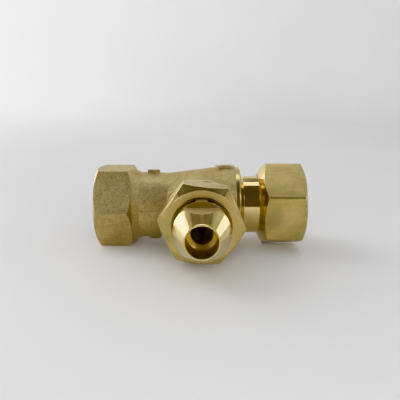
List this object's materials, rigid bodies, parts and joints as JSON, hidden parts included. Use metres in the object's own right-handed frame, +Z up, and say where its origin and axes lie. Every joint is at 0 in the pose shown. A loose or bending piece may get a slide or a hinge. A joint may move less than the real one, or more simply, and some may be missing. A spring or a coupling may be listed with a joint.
{
  "type": "y strainer",
  "caption": "Brass line strainer with a hexagon threaded inlet, a swivel union nut outlet and a branch that holds a pull-out screen with a blow-off nose.",
  "frame": {"origin": "centre of the inlet end face, on the run axis", "axes": "+X along the run from inlet to outlet, -Y along the branch towards the blow-off nose, +Z up"},
  "size_m": [0.0808, 0.0686, 0.0338],
  "materials": {
    "cast_brass": "matte",
    "machined_brass": "satin",
    "polished_brass": "polished",
    "plain_brass": "satin",
    "black_rubber": "matte",
    "gasket_rubber": "matte",
    "spring_steel": "satin",
    "stainless_steel": "satin",
    "stainless_mesh": "satin",
    "solder": "satin"
  },
  "bodies": {
    "fitting": {"tee_body": "cast_brass", "outlet_tail": "polished_brass", "tail_o_ring": "black_rubber", "retaining_wire": "spring_steel", "outlet_gasket": "gasket_rubber"},
    "swivel": {"swivel_nut": "machined_brass"},
    "cartridge": {"blow_off_tail": "polished_brass", "branch_gasket": "gasket_rubber", "plug_o_ring": "black_rubber", "screen_cage": "stainless_steel", "screen_mesh": "stainless_mesh", "screen_back_ring": "plain_brass", "screen_front_ring": "plain_brass", "screen_end_cap": "plain_brass", "mesh_seam": "solder"},
    "nut_washer": {"thrust_washer": "plain_brass"},
    "cap": {"bonnet_nut": "machined_brass"}
  },
  "joints": [
    {"name": "swivel_spin", "type": "hinge", "parent": "fitting", "child": "swivel", "pos_m": [0.072, 0, 0], "axis": [1, 0, 0], "continuous": true},
    {"name": "cartridge_pull", "type": "slide", "parent": "fitting", "child": "cartridge", "axis": [0, -1, 0], "range_m": [0, 0.036]},
    {"name": "cap_travel", "type": "slide", "parent": "cartridge", "child": "nut_washer", "axis": [0, -1, 0], "range_m": [0, 0.0035]},
    {"name": "cap_turn", "type": "hinge", "parent": "nut_washer", "child": "cap", "pos_m": [0.0409, -0.027, 0], "axis": [0, -1, 0], "range_deg": [0, 1260]}
  ],
  "couplings": [
    {"joint": "cap_travel", "follows": "cap_turn", "m_per_rad": 0.00015915}
  ]
}
